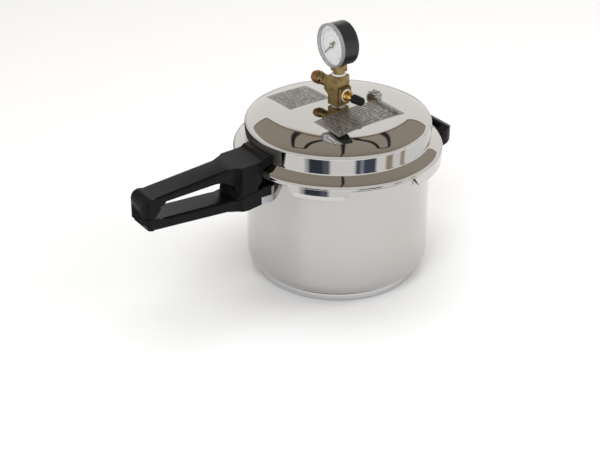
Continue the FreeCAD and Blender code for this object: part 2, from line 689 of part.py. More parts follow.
relief_axis = D.block_bottom + D.relief_height
fill_axis = D.block_bottom + D.fill_height
relief_turn = D.block_turn + 90.0
fill_turn = D.block_turn - 90.0

# ---- relief valve: body with vent holes, poppet, spring and adjusting cap

relief = lengthwise("relief_valve_body", [
    (9.6, 2.0), (9.6, 4.9), (16.3, 4.9), (16.3, 7.2), (20.4, 7.2), (20.4, 6.0), (21.4, 6.0),
    (21.4, 7.0), (30.0, 7.0), (30.0, 5.2), (20.0, 5.2), (20.0, 2.0)], relief_turn, relief_axis)
vent = relief.sketch("XY_Plane")
relief.ring(vent, 25.6, 0.0, 1.9)
vent_cut = relief.pocket(vent, 9.0)
relief.around([vent_cut], 4, axis="X_Axis")

poppet = lengthwise("relief_poppet", [
    (20.3, 0.0), (20.3, 4.2), (22.2, 4.2), (22.2, 1.2), (35.0, 1.2), (35.0, 0.0)],
    relief_turn, relief_axis)

relief_spring = Piece("relief_spring")
coils = relief_spring.sketch("XZ_Plane")
for index in range(5):
    relief_spring.ring(coils, 23.4 + 2.1 * index, 3.1, 0.45)
relief_spring.revolve(coils, axis="H_Axis")
relief_spring.place(z=relief_axis, turn=relief_turn)

relief_cap = lengthwise("relief_cap", [
    (30.3, 4.9), (30.3, 7.5), (31.2, 8.0), (37.2, 8.0), (38.6, 6.6), (41.0, 6.2), (41.0, 3.0),
    (38.4, 3.0), (38.4, 1.5), (36.0, 1.5), (36.0, 4.9)], relief_turn, relief_axis)
flute = relief_cap.sketch("YZ_Plane", 30.0)
relief_cap.ring(flute, 8.5, 0.0, 1.1)
flute_cut = relief_cap.pocket(flute, 9.0, backwards=True)
relief_cap.around([flute_cut], 12, axis="X_Axis")

# ---- fill valve: stem with a sprung core pin under a push-on cap

fill = lengthwise("fill_valve_body", [
    (6.2, 1.5), (6.2, 4.1), (13.4, 4.1), (13.4, 6.4), (18.2, 6.4), (18.2, 4.9), (20.6, 4.9),
    (21.8, 3.8), (34.6, 3.8), (34.6, 2.2), (24.0, 2.2), (24.0, 1.5)], fill_turn, fill_axis)

fill_tape = lengthwise("fill_thread_tape", [
    (12.75, 4.3), (12.75, 7.6), (13.3, 7.6), (13.3, 4.3)], fill_turn, fill_axis)

core_pin = lengthwise("fill_core_pin", [
    (8.0, 0.0), (8.0, 0.8), (26.0, 0.8), (26.0, 1.9), (27.6, 1.9), (27.6, 0.8), (33.6, 0.8),
    (33.6, 0.0)], fill_turn, fill_axis)

fill_cap = lengthwise("fill_valve_cap", [
    (25.4, 4.1), (25.4, 5.6), (37.4, 5.2), (39.8, 3.7, 2.8, -1), (39.8, 0.0), (36.0, 0.0),
    (36.0, 4.1)], fill_turn, fill_axis)

# ---- gauge: socket, case, lens, dial and the movement behind it

socket = Piece("gauge_socket")
shank = socket.sketch("XY_Plane", 4.6)
socket.outline(shank, box_points(-D.shank / 2.0, -D.shank / 2.0, D.shank / 2.0, D.shank / 2.0))
socket.pad(shank, 7.4)
neck = socket.sketch("XY_Plane", -10.4)
socket.ring(neck, 0.0, 0.0, D.neck_radius)
socket.pad(neck, 16.0)
tip = socket.sketch("XY_Plane", 11.0)
socket.ring(tip, 0.0, 0.0, 4.2)
socket.pad(tip, 6.0)
bore = socket.sketch("XY_Plane", -12.0)
socket.ring(bore, 0.0, 0.0, D.bore_radius)
socket.pocket(bore, 26.0, backwards=True)
socket.place(z=D.block_bottom + D.block_height)


def gauge_piece(label, profile_points):
    """A part of the gauge turned about the dial's axis."""
    piece = Piece(label)
    sketch = piece.sketch("XZ_Plane")
    piece.outline(sketch, profile_points)
    piece.revolve(sketch, axis="H_Axis")
    piece.place(z=D.gauge_height)
    return piece


case_inner = D.case_radius - D.case_sheet
case = gauge_piece("gauge_case", [
    (-D.case_front, case_inner), (-D.case_front, D.case_radius),
    (D.case_back - 2.0, D.case_radius), (D.case_back, D.case_radius - 2.0, 2.0, -1),
    (D.case_back, 0.0), (D.case_back - D.case_sheet, 0.0), (D.case_back - D.case_sheet, case_inner)])
entry = case.sketch("XY_Plane", -30.0)
case.ring(entry, 0.0, 0.0, 4.6)
case.pocket(entry, 12.0, backwards=True)

gauge_piece("gauge_lens", [
    (-D.lens_front, 0.0), (-D.lens_front, D.lens_radius - 1.4),
    (-D.lens_front + 1.0, D.lens_radius), (-D.case_front - 0.1, D.lens_radius),
    (-D.case_front - 0.1, D.dial_radius + 0.3), (-D.lens_front + 1.4, D.dial_radius + 0.3),
    (-D.lens_front + 1.4, 0.0)])

gauge_piece("gauge_dial", [
    (-9.6, 1.2), (-9.6, D.dial_radius), (-9.0, D.dial_radius), (-9.0, 1.2)])

pinion_pitch = D.gear_module * D.pinion_teeth / 2.0
sector_pitch = D.gear_module * D.sector_teeth / 2.0
PIVOT_ANGLE = 30.0
pivot_y = -(pinion_pitch + sector_pitch) * cosine(PIVOT_ANGLE)
pivot_z = -(pinion_pitch + sector_pitch) * sine(PIVOT_ANGLE)

# the two plates and pillars that carry the pointer arbor and the sector
plates = Piece("gauge_movement")
for offset, thick in ((-8.4, 0.7), (-3.2, 0.8)):
    plate = plates.sketch("YZ_Plane", offset)
    plates.outline(plate, box_points(-6.6, -6.2, 19.0, 6.2))
    plates.ring(plate, 0.0, 0.0, 0.85)
    plates.ring(plate, pinion_pitch + sector_pitch, 0.0, 0.85)
    plates.pad(plate, thick)
pillars = plates.sketch("YZ_Plane", -8.0)
for u in (-5.2, 17.9):
    for v in (-5.0, 5.0):
        plates.ring(pillars, u, v, 0.9)
plates.pad(pillars, 5.4)
plates.body.Placement = FreeCAD.Placement(
    FreeCAD.Vector(0, 0, D.gauge_height.value),
    FreeCAD.Rotation(FreeCAD.Vector(1, 0, 0), 180.0 + PIVOT_ANGLE))

tube = Piece("gauge_tube")
profile = tube.sketch("XZ_Plane")
tube.outline(profile, box_points(-1.6, 22.0, 5.4, 24.0))
tube.spin("Revolution", profile, "H_Axis", 250.0)
tube.place(z=D.gauge_height)


def toothed(piece, sketch_plane_offset, pitch, copies, thick, start):
    """Straight-flanked teeth standing on a wheel of the given pitch radius."""
    tooth = piece.sketch("YZ_Plane", sketch_plane_offset)
    root = pitch - D.gear_module * 1.3
    crest = pitch + D.gear_module * 0.8
    wide = D.gear_module
    slim = D.gear_module * 0.3
    piece.outline(tooth, [
        (root - 0.3, -wide), (root, -wide), (crest, -slim), (crest, slim), (root, wide),
        (root - 0.3, wide)])
    made = piece.pad(tooth, thick)
    piece.around([made], copies, axis="X_Axis", angle=start)


pinion = Piece("pointer_arbor")
hub = pinion.sketch("YZ_Plane", -11.9)
pinion.ring(hub, 0.0, 0.0, 2.1)
pinion.pad(hub, 2.0)
arbor = pinion.sketch("YZ_Plane", -10.4)
pinion.ring(arbor, 0.0, 0.0, 0.8)
pinion.pad(arbor, 8.0)
wheel = pinion.sketch("YZ_Plane", -6.4)
pinion.ring(wheel, 0.0, 0.0, pinion_pitch - D.gear_module * 1.3)
pinion.pad(wheel, D.gear_face)
toothed(pinion, -6.4, pinion_pitch, D.pinion_teeth, D.gear_face, 360.0)
pinion.place(z=D.gauge_height)

pointer = Piece("pointer")
blade = pointer.sketch("YZ_Plane", -11.5)
pointer.outline(blade, [
    (2.2, -0.9), (17.4, -0.35), (18.6, 0.0), (17.4, 0.35), (2.2, 0.9), (-2.2, 1.0), (-8.6, 1.7),
    (-8.6, -1.7), (-2.2, -1.0)])
pointer.pad(blade, 0.6)
eye = pointer.sketch("YZ_Plane", -11.5)
pointer.ring(eye, 0.0, 0.0, 3.3)
pointer.pad(eye, 0.6)
hole = pointer.sketch("YZ_Plane", -12.0)
pointer.ring(hole, 0.0, 0.0, 2.15)
pointer.pocket(hole, 2.0, backwards=True)
pointer.body.Placement = FreeCAD.Placement(
    FreeCAD.Vector(0, 0, D.gauge_height.value),
    FreeCAD.Rotation(FreeCAD.Vector(1, 0, 0), -45.0))

SECTOR_SPAN = 66.0
sector = Piece("sector_gear")
body = sector.sketch("YZ_Plane", -6.4)
inner = sector_pitch - D.gear_module * 1.3
sector.ring(body, 0.0, 0.0, 1.9)
sector.pad(body, D.gear_face)
web = sector.sketch("YZ_Plane", -6.4)
sector.outline(web, [
    (0.0, 0.0), (inner * cosine(0.0), -inner * sine(0.0)),
    (inner * cosine(SECTOR_SPAN), inner * sine(SECTOR_SPAN), inner, 1)])
sector.pad(web, D.gear_face)
toothed(sector, -6.4, sector_pitch, 11.0, D.gear_face, 60.0)
shaft = sector.sketch("YZ_Plane", -8.3)
sector.ring(shaft, 0.0, 0.0, 0.8)
sector.pad(shaft, 5.9)
sector.body.Placement = FreeCAD.Placement(
    FreeCAD.Vector(0, pivot_y.value, D.gauge_height.value + pivot_z.value),
    FreeCAD.Rotation(FreeCAD.Vector(1, 0, 0), PIVOT_ANGLE - 3.0))

# ---- vent nut, its sealing washer and the pin that lifts with pressure

vent_z = D.crown_top - 2.15
nut = Piece("vent_nut")
flats = nut.sketch("XY_Plane")
nut.outline(flats, hexagon_points(D.vent_flats))
nut.pad(flats, 4.2)
nut.chamfer(lambda p, e: abs(p.z - 4.2) < 0.01, 0.8)
dome = nut.sketch("XZ_Plane")
nut.outline(dome, [
    (0.0, 4.0), (8.4, 4.0), (8.4, 5.0), (6.8, 6.4, 2.6, 1), (0.0, 7.2)])
nut.revolve(dome)
stem = nut.sketch("XY_Plane")
nut.ring(stem, 0.0, 0.0, D.vent_hole - 0.2)
nut.pad(stem, 8.0, backwards=True)
bore = nut.sketch("XY_Plane", -9.0)
nut.ring(bore, 0.0, 0.0, 1.58)
nut.pocket(bore, 20.0, backwards=True)
eyes = nut.sketch("XY_Plane", 3.0)
for u in (-1.0, 1.0):
    nut.ring(eyes, 3.6 * u, 0.0, 0.7)
nut.pocket(eyes, 6.0, backwards=True)
nut.place(x=D.vent_offset, z=vent_z + 0.9)

pin = Piece("vent_pin")
profile = pin.sketch("XZ_Plane")
pin.outline(profile, [
    (0.0, 0.0), (3.4, 0.0), (3.4, 1.6), (1.5, 1.6), (1.5, 16.4), (1.0, 17.0), (0.0, 17.0)])
pin.revolve(profile)
pin.place(x=D.vent_offset, z=vent_z - 14.0)

vent_washer = Piece("vent_washer")
profile = vent_washer.sketch("XZ_Plane")
vent_washer.outline(profile, box_points(D.vent_hole + 0.1, 0.0, 8.0, 1.4))
vent_washer.revolve(profile)
vent_washer.place(x=D.vent_offset, z=vent_z - 4.0)

# ---- the two foil plates follow the crown and the start of the shoulder

SHOULDER_TURN = 16.5
edge_in = D.crown_edge / D.crown_curve
edge_up = cosine(8.512)
shoulder_in = D.crown_edge - D.shoulder_curve * edge_in
shoulder_low = crown_low - D.shoulder_curve * edge_up


def over_edge(lift):
    """Where a surface lying a little above the lid passes from crown to shoulder."""
    return D.crown_edge + edge_in * lift, crown_low + edge_up * lift


def over_end(lift):
    """Where that surface stops, part of the way round the shoulder."""
    reach = D.shoulder_curve + lift
    return shoulder_in + reach * sine(SHOULDER_TURN), shoulder_low + reach * cosine(SHOULDER_TURN)


for label, middle_x, middle_y, turn, long_side, short_side in (
        ("front_foil_plate", 3.4, -37.6, 5.5, 101.5, 44.5),
        ("rear_foil_plate", -23.1, 51.0, -3.0, 55.0, 56.0)):
    foil = Piece(label)
    profile = foil.sketch("XZ_Plane")
    under, over = 0.03, 0.18
    foil.outline(profile, [
        (0.0, D.crown_top + under, D.crown_curve + under, 1), (0.0, D.crown_top + over),
        over_edge(over) + (D.crown_curve + over, -1),
        over_end(over) + (D.shoulder_curve + over, -1),
        over_end(under), over_edge(under) + (D.shoulder_curve + under, 1)])
    foil.revolve(profile)
    trim = foil.sketch("XY_Plane", 195.0)
    foil.ring(trim, 0.0, 0.0, 100.0)
    across = math.cos(math.radians(turn)), math.sin(math.radians(turn))
    corners = []
    for u, v in ((-1, -1), (1, -1), (1, 1), (-1, 1)):
        corners.append((
            middle_x + u * long_side / 2 * across[0] - v * short_side / 2 * across[1],
            middle_y + u * long_side / 2 * across[1] + v * short_side / 2 * across[0]))
    foil.outline(trim, corners)
    foil.pocket(trim, 20.0, backwards=True)

doc.recompute()
os.makedirs("parts", exist_ok=True)
for body in PIECES:
    shape = body.Shape
    bad = [item.Name for item in body.Group if "Invalid" in item.State or "Error" in item.State]
    if bad or shape.isNull() or not shape.isValid():
        raise RuntimeError("%s failed: %s" % (body.Label, bad))
    shape.exportStep("parts/%s.step" % body.Label)
    box = shape.BoundBox
    print("%-24s solids %d volume %10.1f  x %7.1f %7.1f  y %7.1f %7.1f  z %7.1f %7.1f" % (
        body.Label, len(shape.Solids), shape.Volume, box.XMin, box.XMax, box.YMin, box.YMax,
        box.ZMin, box.ZMax))
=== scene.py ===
import math

import bmesh
import bpy
from mathutils import Matrix, Vector


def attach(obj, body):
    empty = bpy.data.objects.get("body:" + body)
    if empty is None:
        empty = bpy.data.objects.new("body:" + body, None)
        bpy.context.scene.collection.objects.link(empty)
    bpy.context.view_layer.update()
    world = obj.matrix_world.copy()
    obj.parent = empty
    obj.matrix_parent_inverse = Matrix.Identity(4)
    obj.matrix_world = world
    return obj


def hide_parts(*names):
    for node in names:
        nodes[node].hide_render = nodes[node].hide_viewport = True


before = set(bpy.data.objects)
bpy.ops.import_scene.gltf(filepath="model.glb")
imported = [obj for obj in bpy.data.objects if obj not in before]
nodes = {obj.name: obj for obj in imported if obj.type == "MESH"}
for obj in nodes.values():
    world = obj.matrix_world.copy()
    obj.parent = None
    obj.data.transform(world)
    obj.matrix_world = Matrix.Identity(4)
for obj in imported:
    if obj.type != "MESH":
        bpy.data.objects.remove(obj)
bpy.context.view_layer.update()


# ---------------------------------------------------------------- stage
# A wide pale floor under soft, even light, and one camera that looks down on
# the pot as someone standing at a worktop would.

view_turn = Matrix.Rotation(math.radians(-34.0), 3, "Z")
view_tilt = math.radians(28.9)
stand_point = view_turn @ Vector((-0.0452, 0.0, 0.0453))
stand_back = view_turn @ Vector((0.0, -math.cos(view_tilt), math.sin(view_tilt)))
camera_distance = 1.8
camera_data = bpy.data.cameras.new("camera")
camera_data.lens = 87.54
camera_data.sensor_width = 36.0
camera_data.clip_end = 50.0
camera = bpy.data.objects.new("camera", camera_data)
camera.location = stand_point + stand_back * camera_distance
camera_tilt = Matrix.Rotation(math.pi / 2 - view_tilt, 3, "X")
camera.rotation_euler = (view_turn @ camera_tilt).to_euler()
bpy.context.collection.objects.link(camera)
bpy.context.scene.camera = camera
bpy.context.scene.view_settings.view_transform = "Standard"
bpy.context.scene.view_settings.look = "None"


class Value:
    """One socket in a material; arithmetic on it adds the Math nodes."""

    def __init__(self, finish, socket):
        self.finish = finish
        self.socket = socket

    def maths(self, operation, first, second=0.0):
        return self.finish.node("ShaderNodeMath", {"operation": operation}, {0: first, 1: second})

    def __add__(self, other):
        return self.maths("ADD", self, other)

    def __sub__(self, other):
        return self.maths("SUBTRACT", self, other)

    def __rsub__(self, other):
        return self.maths("SUBTRACT", other, self)

    def __mul__(self, other):
        return self.maths("MULTIPLY", self, other)

    def __truediv__(self, other):
        return self.maths("DIVIDE", self, other)

    def __rtruediv__(self, other):
        return self.maths("DIVIDE", other, self)

    def power(self, other):
        return self.maths("POWER", self, other)

    def least(self, other):
        return self.maths("MINIMUM", self, other)

    def most(self, other):
        return self.maths("MAXIMUM", self, other)

    def size(self):
        return self.maths("ABSOLUTE", self)

    def part(self):
        return self.maths("FRACT", self)

    __radd__ = __add__
    __rmul__ = __mul__


class Finish:
    """A material, or the world, put together node by node."""

    def __init__(self, name, owner=None, **uniform):
        self.owner = owner or bpy.data.materials.new(name)
        self.owner.use_nodes = True
        self.tree = self.owner.node_tree
        self.shader = [n for n in self.tree.nodes if n.type in ("BSDF_PRINCIPLED", "BACKGROUND")][0]
        for word, value in uniform.items():
            self.shader.inputs[word.replace("_", " ")].default_value = value

    def node(self, kind, settings=None, sockets=None, out=0):
        made = self.tree.nodes.new(kind)
        for word, value in (settings or {}).items():
            setattr(made, word, value)
        for word, value in (sockets or {}).items():
            if isinstance(value, Value):
                self.tree.links.new(value.socket, made.inputs[word])
            else:
                made.inputs[word].default_value = value
        return Value(self, made.outputs[out])

    def place(self):
        return self.node("ShaderNodeTexCoord", out="Object")

    def axes(self):
        """The three coordinates of the point being shaded."""
        here = self.node("ShaderNodeSeparateXYZ", sockets={0: self.place()})
        spread = here.socket.node
        return [Value(self, spread.outputs[index]) for index in range(3)]

    def noise(self, scale, detail=4.0, stretch=None, rough=0.5):
        where = self.place()
        if stretch:
            where = self.node("ShaderNodeMapping", sockets={"Vector": where, "Scale": stretch})
        return self.node("ShaderNodeTexNoise", sockets={
            "Vector": where, "Scale": scale, "Detail": detail, "Roughness": rough})

    def blend(self, amount, first, second):
        """From the first colour to the second."""
        first = first if isinstance(first, Value) else (*first, 1.0)
        second = second if isinstance(second, Value) else (*second, 1.0)
        return self.node("ShaderNodeMix", {"data_type": "RGBA"},
                         {0: amount, 6: first, 7: second}, out=2)

    def range(self, value, low, high, start=0.0, end=1.0):
        """Ramp from start to end while the value goes from low to high."""
        return self.node("ShaderNodeMapRange", {"clamp": True}, {
            "Value": value, "From Min": low, "From Max": high, "To Min": start, "To Max": end})

    def bump(self, height, strength, depth):
        return self.node("ShaderNodeBump", sockets={
            "Height": height, "Strength": strength, "Distance": depth})

    def feed(self, **links):
        for word, value in links.items():
            self.tree.links.new(value.socket, self.shader.inputs[word.replace("_", " ")])
        return self.owner


# The room, painted in the world: pale walls, and a beige ceiling with dark ribs and a brown
# cornice, which the polished lid mirrors.
world = bpy.data.worlds.new("room")
bpy.context.scene.world = world
room = Finish("room", owner=world)
away = view_turn @ Vector((0.0, 1.0, 0.0))
side = view_turn @ Vector((1.0, 0.0, 0.0))


def along(finish, where, line):
    """How far a place or direction reaches along a level line."""
    return finish.node("ShaderNodeVectorMath", {"operation": "DOT_PRODUCT"},
                       {0: where, 1: tuple(line)}, out="Value")


direction = room.node("ShaderNodeTexCoord", out="Generated")
rise = along(room, direction, (0.0, 0.0, 1.0))
ahead = along(room, direction, away)
across = along(room, direction, side)
off_middle = (across - rise * 0.05).size()
bowed_edge = rise * 1.16 + off_middle * off_middle * 4.8 / rise.most(0.05)
left_edge = rise * 2.09 + across * 0.606
far_edge = bowed_edge.least(rise * 1.86).least(left_edge) - ahead
near_edge = ahead + rise * 1.2
side_edge = rise * 2.8 - across.size()
inside = far_edge.least(near_edge).least(side_edge)
ceiling = room.range(inside, -0.006, 0.006)
cornice = room.range(far_edge, 0.02, 0.035, 1.0, 0.0)
beige = room.blend(room.range(ahead, -0.6, 0.5), (0.30, 0.255, 0.21), (0.40, 0.355, 0.30))
rib = room.range(off_middle, 0.008, 0.016, 1.0, 0.0)
outer_rib = room.range((off_middle - rise * 0.502 + ahead * 0.24).size(), 0.010, 0.018, 1.0, 0.0)
inner_rib = room.range((off_middle - rise * 0.42 + ahead * 0.32).size(), 0.010, 0.018, 1.0, 0.0)
tie = room.range((ahead - rise * 0.42).size(), 0.014, 0.022, 1.0, 0.0) * room.range(
    (off_middle - rise * 0.345).size(), 0.05, 0.06, 1.0, 0.0)
pair = outer_rib.most(inner_rib) * room.range(ahead - rise * 0.42, -0.01, 0.01)
ribs = rib.most(pair).most(tie) * room.range(inside, 0.0, 0.01)
roof = room.blend(cornice, beige, (0.20, 0.115, 0.05))
roof = room.blend(ribs, roof, (0.02, 0.02, 0.02))
walls = room.blend(room.range(ahead, -0.4, 0.4), (0.86, 0.86, 0.86), (1.0, 0.99, 0.975))
room.feed(Color=room.blend(ceiling, walls, roof))
room.shader.inputs["Strength"].default_value = 1.0

for name, spot, aim, size, power in (
        ("key_light", (-1.4, -1.2, 2.0), (0.0, 0.0, 0.1), 1.6, 26.0),
        ("fill_light", (1.6, -1.0, 1.4), (0.0, 0.0, 0.1), 1.4, 12.0),
        ("top_light", (0.2, 0.3, 2.4), (0.0, 0.0, 0.0), 2.2, 29.0)):
    lamp_data = bpy.data.lights.new(name, "AREA")
    lamp_data.shape = "DISK"
    lamp_data.size = size
    lamp_data.energy = power
    lamp_data.color = (0.93, 0.965, 1.0)
    lamp = bpy.data.objects.new(name, lamp_data)
    lamp.location = spot
    lamp.rotation_euler = (Vector(aim) - Vector(spot)).to_track_quat("-Z", "Y").to_euler()
    lamp.visible_glossy = False
    bpy.context.collection.objects.link(lamp)

# A low ring of dark and pale cards stands round the pot. Only mirror reflections see it, as
# upright bands on the lid's skirt.
card_radius = 0.30
card_bottom = 0.055
card_height = 0.071
fence = bmesh.new()
bmesh.ops.create_circle(fence, segments=96, radius=card_radius)
bmesh.ops.translate(fence, verts=fence.verts, vec=(0.0, 0.0, card_bottom))
raised = bmesh.ops.extrude_edge_only(fence, edges=fence.edges[:])["geom"]
bmesh.ops.translate(fence, verts=[v for v in raised if isinstance(v, bmesh.types.BMVert)],
                    vec=(0.0, 0.0, card_height))
cards_mesh = bpy.data.meshes.new("cards")
fence.to_mesh(cards_mesh)
cards = bpy.data.objects.new("cards", cards_mesh)
bpy.context.collection.objects.link(cards)
cards.visible_camera = False
cards.visible_diffuse = False
cards.visible_shadow = False
cards.visible_transmission = False
card_finish = Finish("card_colours", Base_Color=(0.0, 0.0, 0.0, 1.0), Roughness=1.0)
card_finish.shader.inputs["Specular IOR Level"].default_value = 0.0
card_finish.shader.inputs["Emission Strength"].default_value = 1.0
degrees = 180.0 / math.pi
card_place = card_finish.place()
card_bearing = card_finish.node("ShaderNodeMath", {"operation": "ARCTAN2"}, {
    0: along(card_finish, card_place, side),
    1: along(card_finish, card_place, away * -1.0)}) * degrees
blur = 1.6
card_shade = (0.05, 0.05, 0.05)
for card_start, colour in (
        (-59.0, (0.95, 0.95, 0.95)), (-34.0, (0.50, 0.51, 0.54)),
        (-30.0, (0.045, 0.05, 0.07)), (-16.0, (0.12, 0.13, 0.16)),
        (-9.0, (0.92, 0.92, 0.92)), (16.0, (0.09, 0.10, 0.13)),
        (21.0, (0.35, 0.37, 0.42)), (24.0, (0.07, 0.085, 0.125)),
        (37.0, (0.93, 0.93, 0.92)), (48.0, (0.42, 0.34, 0.26)),
        (56.0, (0.88, 0.87, 0.86)), (66.0, (0.45, 0.38, 0.32)),
        (72.0, (0.9, 0.9, 0.9))):
    passed = card_finish.range(card_bearing, card_start - blur, card_start + blur)
    card_shade = card_finish.blend(passed, card_shade, colour)
cards_mesh.materials.append(card_finish.feed(Emission_Color=card_shade))

ground = bmesh.new()
bmesh.ops.create_grid(ground, x_segments=1, y_segments=1, size=9.0)
bmesh.ops.translate(ground, verts=ground.verts, vec=(0.0, 0.0, -0.0004))
floor_mesh = bpy.data.meshes.new("floor")
ground.to_mesh(floor_mesh)
floor = bpy.data.objects.new("floor", floor_mesh)
bpy.context.collection.objects.link(floor)
floor_finish = Finish("pale_floor", Roughness=0.9)
floor_finish.shader.inputs["Specular IOR Level"].default_value = 0.1
grain = floor_finish.noise(9.0, 3.0)
floor_mesh.materials.append(floor_finish.feed(
    Base_Color=floor_finish.blend(grain, (0.93, 0.93, 0.93), (0.95, 0.95, 0.95))))


# ---------------------------------------------------------------- pot
# A deep-drawn stainless vessel, polished, its rim turned out and five ears
# pressed in it for the lid's hooks.

def settled(name, work, finish, crease=32.0):
    """Turn a finished mesh into an object, smooth except at real corners."""
    bmesh.ops.remove_doubles(work, verts=work.verts, dist=1e-6)
    bmesh.ops.recalc_face_normals(work, faces=work.faces)
    for face in work.faces:
        face.smooth = True
    for edge in work.edges:
        edge.smooth = len(edge.link_faces) == 2 and edge.calc_face_angle(0.0) < math.radians(crease)
    mesh = bpy.data.meshes.new(name)
    work.to_mesh(mesh)
    work.free()
    mesh.materials.append(finish)
    piece = bpy.data.objects.new(name, mesh)
    bpy.context.collection.objects.link(piece)
    return piece


def section(work, points, closed):
    """Lay out a half section in the XZ plane, from points in mm."""
    corners = [work.verts.new((p[0] / 1000, 0.0, p[1] / 1000)) for p in points]
    following = corners[1:] + corners[:1] if closed else corners[1:]
    for pair in zip(corners, following):
        work.edges.new(pair)


def turned(points, steps, angle=360.0, start=0.0, closed=True, work=None):
    """Spin a half section about the pot's axis; a part turn gets its two ends closed."""
    work = work or bmesh.new()
    own = bmesh.new()
    section(own, points, closed)
    bmesh.ops.rotate(own, verts=own.verts, matrix=Matrix.Rotation(math.radians(start), 3, "Z"))
    whole = angle >= 360.0
    bmesh.ops.spin(own, geom=own.verts[:] + own.edges[:], cent=(0, 0, 0), axis=(0, 0, 1),
                   dvec=(0, 0, 0), angle=math.radians(angle), steps=steps, use_merge=whole)
    if not whole:
        rims = [e for e in own.edges if e.is_valid and len(e.link_faces) == 1]
        bmesh.ops.holes_fill(own, edges=rims, sides=0)
    joined = bpy.data.meshes.new("joined")
    own.to_mesh(joined)
    own.free()
    work.from_mesh(joined)
    bpy.data.meshes.remove(joined)
    return work


def arc(centre, radius, first, last, count=8):
    """Points of an arc in a half section, angles in degrees from the outward direction."""
    return [(centre[0] + radius * math.cos(math.radians(first + (last - first) * k / count)),
             centre[1] + radius * math.sin(math.radians(first + (last - first) * k / count)))
            for k in range(count + 1)]


def polished_steel(name, tone, dull, streak, scratch):
    """Buffed stainless steel: fine rubbing marks, a slight cast and faint smears."""
    steel = Finish(name, Metallic=1.0)
    smear = steel.noise(14.0, 3.0, (1.0, 1.0, 0.45))
    rubbing = steel.noise(420.0, 2.0, streak)
    cloud = steel.noise(5.0, 2.0)
    colour = steel.blend(steel.range(cloud, 0.35, 0.65), tone,
                         (tone[0] * 0.965, tone[1] * 0.955, tone[2] * 0.94))
    rough = steel.range(smear, 0.3, 0.75, dull * 0.7, dull * 1.45) + rubbing * (dull * 0.35)
    return steel.feed(Base_Color=colour, Roughness=rough,
                      Normal=steel.bump(rubbing, scratch, 0.00004))


body_steel = polished_steel("pot_steel", (0.52, 0.505, 0.495), 0.10, (1.0, 1.0, 0.03), 0.05)
EAR_COUNT = 5
EAR_TURN = 8.75
EAR_PITCH = 360.0 / EAR_COUNT
EAR_SPAN = 33.0
wall_section = ([(0.0, 8.2)] + arc((90.0, 28.2), 20.0, -90.0, 0.0, 12)
                + [(110.0, 60.0), (110.0, 100.0), (110.0, 154.6), (110.4, 155.6), (111.4, 156.0),
                   (116.4, 156.0), (117.0, 156.6), (117.0, 157.4), (116.4, 158.0), (110.4, 158.0),
                   (109.2, 157.6), (108.6, 156.6), (108.6, 100.0), (108.6, 60.0)]
                + arc((90.0, 28.2), 18.6, 0.0, -90.0, 12) + [(0.0, 9.6)])
vessel = turned(wall_section, steps=180, closed=False)
for number in range(EAR_COUNT):
    middle = EAR_TURN + EAR_PITCH * number
    turned([(116.2, 156.1), (119.5, 156.1), (119.5, 150.0), (120.0, 149.8), (121.2, 149.8),
            (121.5, 150.3), (121.5, 157.0), (121.1, 157.9), (120.2, 158.1), (116.2, 158.1)],
           steps=16, angle=EAR_SPAN, start=middle - EAR_SPAN / 2, work=vessel)
pot_shell = settled("pot_shell", vessel, body_steel)
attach(pot_shell, "pot")
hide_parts("pot_body")


# ---------------------------------------------------------------- base
# An aluminium spreader disc pressed to the pot and closed in by a bright
# steel cap with a rounded foot.

cap_steel = polished_steel("cap_steel", (0.66, 0.66, 0.675), 0.07, (1.0, 1.0, 0.05), 0.03)
foot = turned([(0.0, 0.0), (95.0, 0.0)] + arc((95.5, 2.5), 2.5, -75.0, 0.0, 6)
              + [(98.0, 8.2), (97.7, 8.9), (97.0, 9.0)] + arc((90.0, 28.2), 20.1, -74.0, -90.0, 6)
              + [(89.0, 8.1), (89.0, 1.0), (0.0, 1.0)], steps=180, closed=False)
base_shell = settled("base_shell", foot, cap_steel)
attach(base_shell, "pot")
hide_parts("base_cap")


def coat(name, finish):
    """Give a carried-over piece its finish."""
    nodes[name].data.materials.clear()
    nodes[name].data.materials.append(finish)


core_finish = Finish("spreader_aluminium", Metallic=1.0)
coat("base_core", core_finish.feed(
    Base_Color=core_finish.blend(core_finish.noise(60.0), (0.62, 0.62, 0.63), (0.72, 0.72, 0.73)),
    Roughness=core_finish.range(core_finish.noise(200.0), 0.3, 0.7, 0.3, 0.5)))


# ---------------------------------------------------------------- handles
# Two compression-moulded phenolic halves lie one on the other: the lower is
# screwed to a bracket on the pot, the upper to one on the lid.

def eased(name, body, finish, width, segments=3, limit=28.0):
    """The piece as it is in the model, with its moulded or broken edges rounded."""
    work = bmesh.new()
    work.from_mesh(nodes[name].data)
    bmesh.ops.remove_doubles(work, verts=work.verts, dist=2e-6)
    bmesh.ops.recalc_face_normals(work, faces=work.faces)
    bmesh.ops.dissolve_limit(work, angle_limit=math.radians(0.6), verts=work.verts[:],
                             edges=work.edges[:], use_dissolve_boundaries=False)
    piece = settled(name + "_piece", work, finish, 30.0)
    rounding = piece.modifiers.new("rounding", "BEVEL")
    rounding.width = width / 1000
    rounding.segments = segments
    rounding.limit_method = "ANGLE"
    rounding.angle_limit = math.radians(limit)
    rounding.harden_normals = False
    rounding.use_clamp_overlap = True
    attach(piece, body)
    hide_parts(name)
    return piece


